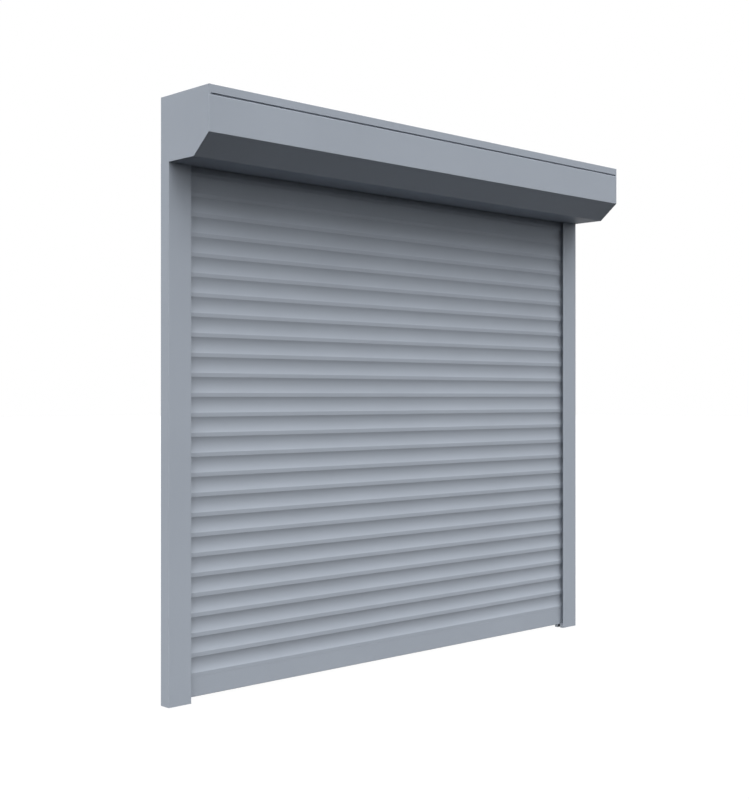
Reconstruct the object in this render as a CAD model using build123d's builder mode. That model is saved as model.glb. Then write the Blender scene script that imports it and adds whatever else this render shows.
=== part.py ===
"""Exterior roller shutter, 77 mm slats, chamfered box, millimetres.

Z is up and the feet of the guide rails stand on Z = 0. X runs along the width, with the middle
at X = 0. The wall lies at the back, at the largest Y, and the box reaches forward to the lowest Y.
"""

import os
from math import cos, floor, radians, sin, tan

from build123d import *

os.makedirs("parts", exist_ok=True)

# Outer sizes
overall_width = 2498.0
overall_height = 2306.5
box_height = 250.0
box_depth = 305.0
front_face_height = 173.5
chamfer_depth = 94.0
rail_width = 103.0
rail_depth = 52.5

# Folded sheets of the box
sheet_thickness = 1.5
sheet_fit = 0.1
sheet_end_gap = 0.2
fold_round = 1.2
seam_drop = 31.7
seam_height = 6.0
seam_round = 3.0
seam_depth = 6.0
seam_flange = 14.0
back_flange = 14.0
back_top_flange = 18.0
entry_gap = 4.0
entry_lip_height = 15.0

# End caps
cap_rim_width = 9.0
cap_shoulder_width = 14.0
cap_plate = 3.0
cap_wall = 2.4
cap_round = 1.0
tongue_length = 60.0
tongue_depth = 36.0
tongue_fit = 0.5
boss_radius = 7.0
boss_height = 5.0
boss_pilot_depth = 4.0

# Guide rails
rail_wall = 2.0
channel_wall = 3.2
channel_depth = 48.0
mouth_depth = 24.0
rail_lip_depth = 19.4
rail_cover_thickness = 2.0
rail_cover_round = 0.8
clip_thickness = 1.5
clip_length = 10.0
clip_fit = 0.3
groove_inset = 4.0
groove_width = 5.2
groove_depth = 1.6
brush_fit = 0.15
pile_width = 3.0
pile_fit = 0.3
foot_plate = 2.0
foot_plug = 18.0
foot_fit = 0.3
rail_hole_radius = 4.25
rail_hole_inset = 27.5
rail_hole_low_z = 150.0
rail_hole_top_inset = 106.5
rail_hole_count = 4

# Curtain
slat_pitch = 77.0
slat_depth = 14.0
slat_wall = 1.2
strip_height = 15.5
belly_depth = 5.5
slat_engagement = 40.0
slot_clearance = 0.8
joint_gap = 0.2
hook_neck = 1.8
hook_head_width = 5.6
hook_head_height = 3.2
mouth_width = 3.0
socket_width = 8.2
socket_height = 10.3
socket_lip = 2.2
shoulder_slope = 2.0
bar_height = 74.6
bar_wall = 1.6
sill_gap = 19.0
seal_mouth = 5.0
seal_pocket_width = 8.0
seal_pocket_height = 3.5
seal_fit = 0.2
seal_reach = 1.0
lock_plate = 2.5
lock_inset = 1.0
lock_height = 30.0
lock_tongue_length = 20.0
lock_tongue_height = 5.0
lock_tongue_width = 6.0
lock_tongue_inset = 5.4

# Winding shaft, motor and bearing
shaft_wall_distance = 122.0
shaft_top_distance = 125.0
shaft_flats = 70.0
shaft_wall = 1.2
adapter_fit = 0.2
bracket_size = 100.0
bracket_thickness = 4.0
bracket_hole_inset = 10.0
bracket_corner = 8.0
motor_radius = 22.5
motor_length = 600.0
motor_head_radius = 32.0
motor_head_length = 28.0
motor_spigot_radius = 10.0
motor_edge = 1.5
crown_gap = 4.0
crown_flange = 4.0
crown_flange_radius = 36.0
crown_length = 22.0
crown_running_fit = 0.3
spindle_radius = 6.0
spindle_recess = 10.0
spindle_length = 46.0
drive_wheel_length = 30.0
drive_wheel_gap = 6.0
pin_fit = 0.02
idler_end_gap = 16.0
idler_flange = 4.0
idler_flange_radius = 36.0
idler_body_length = 120.0
bearing_bore_radius = 10.0
bearing_outer_radius = 21.0
bearing_width = 12.0
bearing_inset = 2.0
bearing_race_wall = 3.6
ball_count = 9
ball_radius = 3.0
ball_fit = 0.2
cage_thickness = 1.2
cage_width = 8.0
housing_wall = 7.0
housing_length = 16.0
holder_hole_radius = 12.0

# Hangers from the shaft to the top slat
hanger_count = 3
hanger_spacing = 900.0
strap_width = 25.0
strap_thickness = 1.0
strap_clearance = 0.3
strap_leave_angle = 60.0
strap_wrap_angle = 75.0
strap_bend = 40.0
strap_tab = 8.0
strap_slot_length = 4.0
strap_slot_margin = 1.0
strap_slot_overrun = 1.0
hanger_hook_width = 40.0
hanger_hook_height = 22.0

# Fasteners and cable entry
screw_radius = 2.0
screw_head_radius = 4.0
screw_head_height = 2.0
screw_length = 9.0
screw_fit = 0.1
cover_screw_front_inset = 20.0
cover_screw_rear_inset = 25.0
bracket_screw_radius = 2.5
bracket_screw_head_radius = 4.5
bracket_screw_head_height = 3.0
socket_key_radius = 1.8
socket_key_depth = 1.4
rivet_radius = 1.6
rivet_head_radius = 3.2
rivet_head_height = 1.0
rivet_length = 6.0
top_rivet_inset = 42.5
back_rivet_inset = 60.0
back_hole_radius = 4.5
back_hole_inset_x = 249.0
back_hole_inset_z = 60.0
grommet_inset = 150.0
grommet_drop = 60.0
grommet_radius = 8.0
grommet_bore_radius = 4.5
grommet_flange_radius = 11.0
grommet_flange = 2.5
grommet_fit = 0.1

# Inlet guides
guide_plate = 3.0
guide_height = 46.0
guide_flare = 16.0
guide_wall = 2.5
guide_end_gap = 2.0

# Places worked out from the sizes above
left_x = -overall_width / 2
right_x = overall_width / 2
wall_y = box_depth / 2
front_y = -box_depth / 2
top_z = overall_height
bottom_z = overall_height - box_height
chamfer_z = overall_height - front_face_height
chamfer_y = front_y + chamfer_depth
rail_front_y = wall_y - rail_depth
curtain_y = rail_front_y + rail_lip_depth + slot_clearance
slot_width = slat_depth + 2 * slot_clearance
entry_y = curtain_y - entry_gap
seam_z = top_z - seam_drop
cover_top_z = seam_z - seam_height
shoulder_inset = sheet_thickness + sheet_fit
first_slat_z = sill_gap + bar_height + joint_gap
slat_length = overall_width - 2 * rail_width + 2 * slat_engagement
sheet_length = overall_width - 2 * cap_rim_width - 2 * sheet_end_gap
shaft_y = wall_y - shaft_wall_distance
shaft_z = top_z - shaft_top_distance
shoulder_x = cap_rim_width + cap_shoulder_width / 2
bracket_x = cap_plate + boss_height
bracket_pitch = bracket_size - 2 * bracket_hole_inset
top_rivet_pitch = box_depth / 2 - top_rivet_inset
back_rivet_pitch = box_height - 2 * back_rivet_inset
back_hole_pitch_x = overall_width - 2 * back_hole_inset_x
back_hole_pitch_z = box_height - 2 * back_hole_inset_z
rail_hole_top_z = bottom_z - rail_hole_top_inset
rail_hole_middle_z = (rail_hole_low_z + rail_hole_top_z) / 2
rail_hole_pitch = (rail_hole_top_z - rail_hole_low_z) / (rail_hole_count - 1)
motor_start_x = left_x + bracket_x + bracket_thickness + motor_head_length
motor_end_x = motor_start_x + motor_length
tube_start_x = motor_start_x + crown_gap + crown_flange
tube_end_x = right_x - bracket_x - bracket_thickness - housing_length - idler_end_gap
inner_flats = shaft_flats - 2 * shaft_wall
adapter_flats = inner_flats - 2 * adapter_fit
octagon_turn = 180.0 / 8
corner_radius = shaft_flats / 2 / cos(radians(octagon_turn))
wrap_radius = corner_radius + strap_clearance
strap_y = curtain_y + slat_depth / 2 - strap_thickness / 2
leave_angle = radians(strap_leave_angle)
leave_point = (shaft_y + wrap_radius * cos(leave_angle), shaft_z + wrap_radius * sin(leave_angle))
turn_drop = (strap_y - leave_point[0]) * cos(leave_angle) / sin(leave_angle)
turn_point = (strap_y, leave_point[1] - turn_drop)
curtain_limit_z = turn_point[1] - strap_bend * tan(leave_angle / 2) - hanger_hook_height
slat_count = floor((curtain_limit_z - first_slat_z) / slat_pitch)
curtain_top_z = first_slat_z + slat_count * slat_pitch
hook_top_z = curtain_top_z + hanger_hook_height


def closed_face(points):
    """Return the flat face inside straight runs through the points."""
    with BuildSketch() as outline:
        with BuildLine():
            Polyline(*points, close=True)
        make_face()
    return outline.sketch


def box_face(inset):
    """Return the pentagon of the box's side, drawn in by an inset."""
    with BuildSketch() as outline:
        with BuildLine():
            Polyline(
                (wall_y, top_z),
                (front_y, top_z),
                (front_y, chamfer_z),
                (chamfer_y, bottom_z),
                (wall_y, bottom_z),
                close=True,
            )
        make_face()
        if inset > 0:
            offset(amount=-inset, kind=Kind.INTERSECTION)
    return outline.sketch


def folded_face(points, side):
    """Return the section of a sheet whose outer skin runs through the points."""
    with BuildSketch() as section:
        with BuildLine():
            Polyline(*points)
            offset(amount=sheet_thickness, side=side, kind=Kind.INTERSECTION)
        make_face()
    return section.sketch


def rail_rectangle(start, end, back, front):
    """Return a rectangle of the left rail's section.

    start and end are counted from the rail's inner side, back and front from the wall.
    """
    inner_x = left_x + rail_width
    return closed_face(
        [
            (inner_x - start, wall_y - back),
            (inner_x - end, wall_y - back),
            (inner_x - end, wall_y - front),
            (inner_x - start, wall_y - front),
        ]
    )


def hook_points(joint_z):
    """Return the outline of the hook above a joint, from its front foot to its rear foot."""
    middle = curtain_y + slat_wall + socket_width / 2
    neck_front = middle - hook_neck / 2
    neck_rear = middle + hook_neck / 2
    head_front = middle - hook_head_width / 2
    head_rear = middle + hook_head_width / 2
    shoulder_z = joint_z - joint_gap
    head_z = joint_z + socket_lip
    head_top_z = head_z + hook_head_height
    return [
        (neck_front, shoulder_z),
        (neck_front, head_z),
        (head_front, head_z),
        (head_front, head_top_z),
        (head_rear, head_top_z),
        (head_rear, head_z),
        (neck_rear, head_z),
        (neck_rear, shoulder_z),
    ]


def socket_points(joint_z):
    """Return the outline of the socket above a joint, from its rear lip to its front lip."""
    middle = curtain_y + slat_wall + socket_width / 2
    mouth_front = middle - mouth_width / 2
    mouth_rear = middle + mouth_width / 2
    pocket_front = middle - socket_width / 2
    pocket_rear = middle + socket_width / 2
    lip_z = joint_z + socket_lip
    pocket_z = lip_z + socket_height
    return [
        (mouth_rear, joint_z),
        (mouth_rear, lip_z),
        (pocket_rear, lip_z),
        (pocket_rear, pocket_z),
        (pocket_front, pocket_z),
        (pocket_front, lip_z),
        (mouth_front, lip_z),
        (mouth_front, joint_z),
    ]


def slat_face(base_z):
    """Return the section of one slat: socket, flat strip, hollow face, hook and inner chamber."""
    rear_y = curtain_y + slat_depth
    strip_z = base_z + strip_height
    next_z = base_z + slat_pitch
    belly_top_z = next_z - joint_gap
    belly_middle_z = (strip_z + belly_top_z) / 2
    chamber_z = base_z + socket_lip + socket_height + slat_wall
    chamber_top_z = belly_top_z - slat_wall
    with BuildSketch() as section:
        with BuildLine():
            Polyline((curtain_y, base_z), (curtain_y, strip_z))
            ThreePointArc(
                (curtain_y, strip_z),
                (curtain_y + belly_depth, belly_middle_z),
                (curtain_y, belly_top_z),
            )
            Polyline(
                (curtain_y, belly_top_z),
                *hook_points(next_z),
                (rear_y - shoulder_slope, belly_top_z),
                (rear_y, belly_top_z - shoulder_slope),
                (rear_y, base_z),
                *socket_points(base_z),
                (curtain_y, base_z),
            )
        make_face()
        with BuildLine():
            ThreePointArc(
                (curtain_y + slat_wall, strip_z),
                (curtain_y + belly_depth + slat_wall, belly_middle_z),
                (curtain_y + slat_wall, chamber_top_z),
            )
            Polyline(
                (curtain_y + slat_wall, chamber_top_z),
                (rear_y - slat_wall - shoulder_slope, chamber_top_z),
                (rear_y - slat_wall, chamber_top_z - shoulder_slope),
                (rear_y - slat_wall, chamber_z),
                (curtain_y + slat_wall, chamber_z),
                (curtain_y + slat_wall, strip_z),
            )
        make_face(mode=Mode.SUBTRACT)
    return section.sketch


def write(piece, name):
    """Label a finished piece and write its file."""
    piece.part.label = name
    export_step(piece.part, "parts/" + name + ".step")


# End caps: an outer plate with a flush rim, and a shoulder that the sheets slip over,
# notched for the folded edges at the seam, under the top panel and beside the curtain
tongue_rear_y = wall_y - rail_wall - tongue_fit
notch_margin = sheet_thickness + sheet_fit
with BuildPart() as left_end_cap:
    with BuildSketch(Plane.YZ.offset(left_x)):
        add(box_face(0))
    extrude(amount=cap_rim_width)
    outer_edges = left_end_cap.faces().sort_by(Axis.X)[0].edges()
    fillet(outer_edges.sort_by(Axis.Z)[1:], radius=cap_round)
    with BuildSketch(Plane.YZ.offset(left_x + cap_rim_width)):
        add(box_face(shoulder_inset))
    extrude(amount=cap_shoulder_width)
    with BuildSketch(Plane.YZ.offset(left_x + cap_plate)):
        add(box_face(shoulder_inset + cap_wall))
    extrude(amount=cap_rim_width + cap_shoulder_width, mode=Mode.SUBTRACT)
    with BuildSketch(Plane.YZ.offset(left_x + cap_rim_width)):
        add(
            closed_face(
                [
                    (front_y, cover_top_z - notch_margin),
                    (front_y, seam_z + notch_margin),
                    (front_y + seam_depth, seam_z + notch_margin),
                    (front_y + seam_depth, cover_top_z - notch_margin),
                ]
            )
        )
        add(
            closed_face(
                [
                    (wall_y, top_z),
                    (wall_y - back_top_flange - sheet_fit, top_z),
                    (wall_y - back_top_flange - sheet_fit, top_z - shoulder_inset - notch_margin),
                    (wall_y, top_z - shoulder_inset - notch_margin),
                ]
            )
        )
        add(
            closed_face(
                [
                    (entry_y - notch_margin, bottom_z),
                    (entry_y + sheet_fit, bottom_z),
                    (entry_y + sheet_fit, bottom_z + entry_lip_height),
                    (entry_y - notch_margin, bottom_z + entry_lip_height),
                ]
            )
        )
    extrude(amount=cap_shoulder_width, mode=Mode.SUBTRACT)
    with BuildSketch(Plane.XY.offset(bottom_z)):
        add(
            closed_face(
                [
                    (left_x + rail_wall + tongue_fit, tongue_rear_y),
                    (left_x + cap_rim_width - tongue_fit, tongue_rear_y),
                    (left_x + cap_rim_width - tongue_fit, tongue_rear_y - tongue_depth),
                    (left_x + rail_wall + tongue_fit, tongue_rear_y - tongue_depth),
                ]
            )
        )
    extrude(amount=-tongue_length)
    with BuildSketch(Plane.YZ.offset(left_x + cap_plate)):
        with Locations((shaft_y, shaft_z)):
            with GridLocations(bracket_pitch, bracket_pitch, 2, 2):
                Circle(boss_radius)
    extrude(amount=boss_height)
    with BuildSketch(Plane.YZ.offset(left_x + bracket_x)):
        with Locations((shaft_y, shaft_z)):
            with GridLocations(bracket_pitch, bracket_pitch, 2, 2):
                Circle(bracket_screw_radius + screw_fit)
    extrude(amount=-boss_pilot_depth, mode=Mode.SUBTRACT)
    front_screw_y = chamfer_y + cover_screw_front_inset
    rear_screw_y = rail_front_y - cover_screw_rear_inset
    with BuildSketch(Plane.XY.offset(bottom_z)):
        with Locations((left_x + shoulder_x, front_screw_y), (left_x + shoulder_x, rear_screw_y)):
            Circle(screw_radius + screw_fit)
    extrude(amount=shoulder_inset + cap_wall, mode=Mode.SUBTRACT)
    with BuildSketch(Plane.XY.offset(top_z)):
        with Locations((left_x + shoulder_x, 0)):
            with GridLocations(0, top_rivet_pitch, 1, 3):
                Circle(rivet_radius + screw_fit)
    extrude(amount=-shoulder_inset - cap_wall, mode=Mode.SUBTRACT)
    with BuildSketch(Plane.XZ.offset(-wall_y)):
        with Locations((left_x + shoulder_x, (top_z + bottom_z) / 2)):
            with GridLocations(0, back_rivet_pitch, 1, 2):
                Circle(rivet_radius + screw_fit)
    extrude(amount=shoulder_inset + cap_wall, mode=Mode.SUBTRACT)
write(left_end_cap, "left_end_cap")

with BuildPart() as right_end_cap:
    mirror(left_end_cap.part, about=Plane.YZ)
write(right_end_cap, "right_end_cap")

# Back panel, with a flange under the top panel and one beside the curtain
with BuildPart() as back_panel:
    with BuildSketch(Plane.YZ.offset(-sheet_length / 2)):
        add(
            folded_face(
                [
                    (wall_y - back_flange, bottom_z),
                    (wall_y, bottom_z),
                    (wall_y, top_z - shoulder_inset),
                    (wall_y - back_top_flange, top_z - shoulder_inset),
                ],
                Side.LEFT,
            )
        )
    extrude(amount=sheet_length)
    with BuildSketch(Plane.XZ.offset(-wall_y)):
        with Locations((0, (top_z + bottom_z) / 2)):
            with GridLocations(back_hole_pitch_x, back_hole_pitch_z, 2, 2):
                Circle(back_hole_radius)
            with GridLocations(overall_width - 2 * shoulder_x, back_rivet_pitch, 2, 2):
                Circle(rivet_radius + screw_fit)
        with Locations((left_x + grommet_inset, top_z - grommet_drop)):
            Circle(grommet_radius)
    extrude(amount=sheet_thickness, mode=Mode.SUBTRACT)
write(back_panel, "back_panel")

# Top panel: its front lip ends in a step that lies behind the front cover
with BuildPart() as top_panel:
    with BuildSketch(Plane.YZ.offset(-sheet_length / 2)):
        add(
            folded_face(
                [
                    (wall_y, top_z),
                    (front_y, top_z),
                    (front_y, seam_z),
                    (front_y + seam_depth, seam_z),
                    (front_y + seam_depth, seam_z - seam_flange),
                ],
                Side.LEFT,
            )
        )
    extrude(amount=sheet_length)
    front_edges = top_panel.edges().filter_by(Axis.X).group_by(Axis.Y)[0]
    fillet(front_edges, radius=fold_round)
    with BuildSketch(Plane.XY.offset(top_z)):
        with GridLocations(overall_width - 2 * shoulder_x, top_rivet_pitch, 2, 3):
            Circle(rivet_radius + screw_fit)
    extrude(amount=-sheet_thickness, mode=Mode.SUBTRACT)
write(top_panel, "top_panel")

# Front cover: upright face, slanted lower corner, underside and lip beside the curtain
with BuildPart() as front_cover:
    with BuildSketch(Plane.YZ.offset(-sheet_length / 2)):
        add(
            folded_face(
                [
                    (front_y + seam_depth - sheet_end_gap, cover_top_z),
                    (front_y, cover_top_z),
                    (front_y, chamfer_z),
                    (chamfer_y, bottom_z),
                    (entry_y, bottom_z),
                    (entry_y, bottom_z + entry_lip_height),
                ],
                Side.LEFT,
            )
        )
    extrude(amount=sheet_length)
    lower_edge = front_cover.edges().filter_by(Axis.X).group_by(Axis.Y)[0].sort_by(Axis.Z)[0]
    fillet(lower_edge, radius=fold_round)
    upper_edge = front_cover.edges().filter_by(Axis.X).group_by(Axis.Y)[0].sort_by(Axis.Z)[-1]
    fillet(upper_edge, radius=seam_round)
    with BuildSketch(Plane.XY.offset(bottom_z)):
        with Locations((0, (front_screw_y + rear_screw_y) / 2)):
            with GridLocations(overall_width - 2 * shoulder_x, rear_screw_y - front_screw_y, 2, 2):
                Circle(screw_radius + screw_fit)
    extrude(amount=sheet_thickness, mode=Mode.SUBTRACT)
write(front_cover, "front_cover")

# Guide rails: an open mouth under the cover, a slot for the slats between two lip chambers, and an
# open chamber for the wall screws
channel_back = rail_depth - rail_lip_depth - slot_width
channel_front = rail_depth - rail_lip_depth
base_front = rail_depth - rail_cover_thickness
screw_chamber = channel_depth + rail_wall
groove_start = mouth_depth + groove_inset
groove_end = groove_start + groove_width
lip_chamber_start = mouth_depth + rail_wall
rail_length = bottom_z - foot_plate
with BuildPart() as left_guide_rail:
    with BuildSketch(Plane.XY.offset(foot_plate)):
        add(rail_rectangle(0, rail_width, 0, base_front))
        add(
            rail_rectangle(screw_chamber, rail_width - rail_wall, rail_wall, base_front),
            mode=Mode.SUBTRACT,
        )
        add(rail_rectangle(0, mouth_depth, rail_wall, base_front), mode=Mode.SUBTRACT)
        add(
            rail_rectangle(mouth_depth, channel_depth, channel_back, channel_front),
            mode=Mode.SUBTRACT,
        )
        add(
            rail_rectangle(
                lip_chamber_start, channel_depth, rail_wall, channel_back - channel_wall
            ),
            mode=Mode.SUBTRACT,
        )
        add(
            rail_rectangle(
                lip_chamber_start,
                channel_depth,
                channel_front + channel_wall,
                base_front - rail_wall,
            ),
            mode=Mode.SUBTRACT,
        )
        add(
            rail_rectangle(
                groove_start, groove_end, channel_back - groove_depth, channel_front + groove_depth
            ),
            mode=Mode.SUBTRACT,
        )
    extrude(amount=rail_length)
    with BuildSketch(Plane.XZ.offset(-wall_y)):
        with Locations((left_x + rail_hole_inset, rail_hole_middle_z)):
            with GridLocations(0, rail_hole_pitch, 1, rail_hole_count):
                Circle(rail_hole_radius)
    extrude(amount=rail_wall, mode=Mode.SUBTRACT)
write(left_guide_rail, "left_guide_rail")

with BuildPart() as right_guide_rail:
    mirror(left_guide_rail.part, about=Plane.YZ)
write(right_guide_rail, "right_guide_rail")

# Snap-on rail covers: the plain front face, with two clips in the screw chamber
with BuildPart() as left_rail_cover:
    with BuildSketch(Plane.XY.offset(foot_plate)):
        add(rail_rectangle(0, rail_width, base_front, rail_depth))
        inner_clip = screw_chamber + clip_fit
        outer_clip = rail_width - rail_wall - clip_fit
        add(rail_rectangle(inner_clip, inner_clip + clip_thickness, base_front - clip_length, rail_depth))
        add(rail_rectangle(outer_clip - clip_thickness, outer_clip, base_front - clip_length, rail_depth))
    extrude(amount=rail_length)
    corner_edges = left_rail_cover.edges().filter_by(Axis.Z).group_by(Axis.Y)[0]
    fillet(corner_edges, radius=rail_cover_round)
write(left_rail_cover, "left_rail_cover")

with BuildPart() as right_rail_cover:
    mirror(left_rail_cover.part, about=Plane.YZ)
write(right_rail_cover, "right_rail_cover")

# Brush seals in the grooves of both lips: a backing strip with its pile
backing_thickness = groove_depth - brush_fit
pile_middle = groove_start + groove_width / 2
pile_start = pile_middle - pile_width / 2
pile_end = pile_middle + pile_width / 2
pile_reach = slot_clearance - pile_fit
with BuildPart() as left_brush_seals:
    with BuildSketch(Plane.XY.offset(foot_plate)):
        add(
            rail_rectangle(
                groove_start + brush_fit,
                groove_end - brush_fit,
                channel_back - groove_depth,
                channel_back - brush_fit,
            )
        )
        add(rail_rectangle(pile_start, pile_end, channel_back - groove_depth, channel_back + pile_reach))
        add(
            rail_rectangle(
                groove_start + brush_fit,
                groove_end - brush_fit,
                channel_front + brush_fit,
                channel_front + groove_depth,
            )
        )
        add(rail_rectangle(pile_start, pile_end, channel_front - pile_reach, channel_front + groove_depth))
    extrude(amount=rail_length)
write(left_brush_seals, "left_brush_seals")

with BuildPart() as right_brush_seals:
    mirror(left_brush_seals.part, about=Plane.YZ)
write(right_brush_seals, "right_brush_seals")

# Rail feet: an end plate with the slot left open, plugs in the rail's chambers and a block in the
# mouth on either side of the curtain
clip_inner = screw_chamber + clip_fit + clip_thickness
clip_outer = rail_width - rail_wall - clip_fit - clip_thickness
rear_lip_end = channel_back - channel_wall
front_lip_start = channel_front + channel_wall
with BuildPart() as rail_feet:
    with BuildSketch():
        add(rail_rectangle(0, rail_width, 0, rail_depth))
        add(rail_rectangle(0, channel_depth, channel_back, channel_front), mode=Mode.SUBTRACT)
    extrude(amount=foot_plate)
    with BuildSketch(Plane.XY.offset(foot_plate)):
        add(
            rail_rectangle(
                clip_inner + foot_fit, clip_outer - foot_fit, rail_wall + foot_fit, base_front - foot_fit
            )
        )
        add(
            rail_rectangle(
                lip_chamber_start + foot_fit,
                channel_depth - foot_fit,
                rail_wall + foot_fit,
                rear_lip_end - foot_fit,
            )
        )
        add(
            rail_rectangle(
                lip_chamber_start + foot_fit,
                channel_depth - foot_fit,
                front_lip_start + foot_fit,
                base_front - rail_wall - foot_fit,
            )
        )
        add(rail_rectangle(0, mouth_depth - foot_fit, rail_wall + foot_fit, channel_back))
        add(rail_rectangle(0, mouth_depth - foot_fit, channel_front, base_front - foot_fit))
    extrude(amount=foot_plug)
    mirror(about=Plane.YZ)
write(rail_feet, "rail_feet")

# Inlet guides: a slotted base on the sheet flanges, with two flared horns round the curtain
guide_z = bottom_z + sheet_thickness
guide_top_z = guide_z + guide_height
guide_start_x = left_x + cap_rim_width + cap_shoulder_width + guide_end_gap
guide_end_x = left_x + rail_width
horn_start_x = guide_end_x - channel_depth
front_throat_y = curtain_y - slot_clearance
rear_throat_y = curtain_y + slat_depth + slot_clearance
rear_plate_y = wall_y - sheet_thickness - foot_fit
with BuildPart() as inlet_guides:
    with BuildSketch(Plane.XY.offset(guide_z)):
        add(
            closed_face(
                [
                    (guide_start_x, rear_plate_y),
                    (guide_end_x, rear_plate_y),
                    (guide_end_x, rear_throat_y),
                    (horn_start_x, rear_throat_y),
                    (horn_start_x, front_throat_y),
                    (guide_end_x, front_throat_y),
                    (guide_end_x, front_throat_y - guide_wall),
                    (guide_start_x, front_throat_y - guide_wall),
                ]
            )
        )
    extrude(amount=guide_plate)
    with BuildSketch(Plane.YZ.offset(horn_start_x)):
        with BuildLine():
            Line((front_throat_y, guide_z), (front_throat_y, guide_z + guide_height / 2))
            SagittaArc(
                (front_throat_y, guide_z + guide_height / 2),
                (front_throat_y - guide_flare, guide_top_z),
                -guide_wall,
            )
            offset(amount=guide_wall, side=Side.LEFT)
        make_face()
        with BuildLine():
            Line((rear_throat_y, guide_z), (rear_throat_y, guide_z + guide_height / 2))
            SagittaArc(
                (rear_throat_y, guide_z + guide_height / 2),
                (rear_throat_y + guide_flare / 2, guide_top_z),
                guide_wall / 2,
            )
            offset(amount=guide_wall, side=Side.RIGHT)
        make_face()
    extrude(amount=channel_depth)
    mirror(about=Plane.YZ)
write(inlet_guides, "inlet_guides")

# Cover screws, from below through the cover into the shoulders of the end caps
with BuildPart() as cover_screws:
    with BuildSketch(Plane.XY.offset(bottom_z)):
        with Locations((0, (front_screw_y + rear_screw_y) / 2)):
            with GridLocations(overall_width - 2 * shoulder_x, rear_screw_y - front_screw_y, 2, 2):
                Circle(screw_head_radius)
    extrude(amount=-screw_head_height)
    head_edges = cover_screws.edges().group_by(Axis.Z)[0]
    fillet(head_edges, radius=screw_head_height / 2)
    with BuildSketch(Plane.XY.offset(bottom_z)):
        with Locations((0, (front_screw_y + rear_screw_y) / 2)):
            with GridLocations(overall_width - 2 * shoulder_x, rear_screw_y - front_screw_y, 2, 2):
                Circle(screw_radius)
    extrude(amount=screw_length)
    with BuildSketch(Plane.XY.offset(bottom_z - screw_head_height)):
        with Locations((0, (front_screw_y + rear_screw_y) / 2)):
            with GridLocations(overall_width - 2 * shoulder_x, rear_screw_y - front_screw_y, 2, 2):
                RegularPolygon(socket_key_radius, 6)
    extrude(amount=socket_key_depth, mode=Mode.SUBTRACT)
write(cover_screws, "cover_screws")

# Rivets: round heads on the top panel, and flush ones in the back panel with their heads inside
back_rivet_y = wall_y - shoulder_inset - cap_wall
with BuildPart() as panel_rivets:
    with BuildSketch(Plane.XY.offset(top_z)):
        with GridLocations(overall_width - 2 * shoulder_x, top_rivet_pitch, 2, 3):
            Circle(rivet_head_radius)
    extrude(amount=rivet_head_height)
    head_edges = panel_rivets.edges().group_by(Axis.Z)[-1]
    fillet(head_edges, radius=rivet_head_height / 2)
    with BuildSketch(Plane.XY.offset(top_z)):
        with GridLocations(overall_width - 2 * shoulder_x, top_rivet_pitch, 2, 3):
            Circle(rivet_radius)
    extrude(amount=-rivet_length)
    with BuildSketch(Plane.XZ.offset(-wall_y)):
        with Locations((0, (top_z + bottom_z) / 2)):
            with GridLocations(overall_width - 2 * shoulder_x, back_rivet_pitch, 2, 2):
                Circle(rivet_radius)
    extrude(amount=shoulder_inset + cap_wall)
    with BuildSketch(Plane.XZ.offset(-back_rivet_y)):
        with Locations((0, (top_z + bottom_z) / 2)):
            with GridLocations(overall_width - 2 * shoulder_x, back_rivet_pitch, 2, 2):
                Circle(rivet_head_radius)
    extrude(amount=rivet_head_height)
write(panel_rivets, "panel_rivets")

# Motor bracket on the left end cap
bracket_plane = Plane.YZ.offset(left_x + bracket_x)
with BuildPart() as motor_bracket:
    with BuildSketch(bracket_plane):
        with Locations((shaft_y, shaft_z)):
            RectangleRounded(bracket_size, bracket_size, bracket_corner)
            Circle(motor_spigot_radius + screw_fit, mode=Mode.SUBTRACT)
            with GridLocations(bracket_pitch, bracket_pitch, 2, 2):
                Circle(bracket_screw_radius + screw_fit, mode=Mode.SUBTRACT)
    extrude(amount=bracket_thickness)
write(motor_bracket, "motor_bracket")

# Bearing holder on the right end cap: plate and housing ring
holder_face_x = right_x - bracket_x
housing_x = holder_face_x - bracket_thickness
with BuildPart() as bearing_holder:
    with BuildSketch(Plane.YZ.offset(holder_face_x)):
        with Locations((shaft_y, shaft_z)):
            RectangleRounded(bracket_size, bracket_size, bracket_corner)
            Circle(holder_hole_radius, mode=Mode.SUBTRACT)
            with GridLocations(bracket_pitch, bracket_pitch, 2, 2):
                Circle(bracket_screw_radius + screw_fit, mode=Mode.SUBTRACT)
    extrude(amount=-bracket_thickness)
    with BuildSketch(Plane.YZ.offset(housing_x)):
        with Locations((shaft_y, shaft_z)):
            Circle(bearing_outer_radius + housing_wall)
            Circle(bearing_outer_radius + pin_fit, mode=Mode.SUBTRACT)
    extrude(amount=-housing_length)
    with BuildSketch(Plane.YZ.offset(housing_x)):
        with Locations((shaft_y, shaft_z)):
            Circle(bearing_outer_radius + pin_fit)
            Circle(bearing_outer_radius - bearing_race_wall / 2, mode=Mode.SUBTRACT)
    extrude(amount=-bearing_inset)
write(bearing_holder, "bearing_holder")

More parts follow.
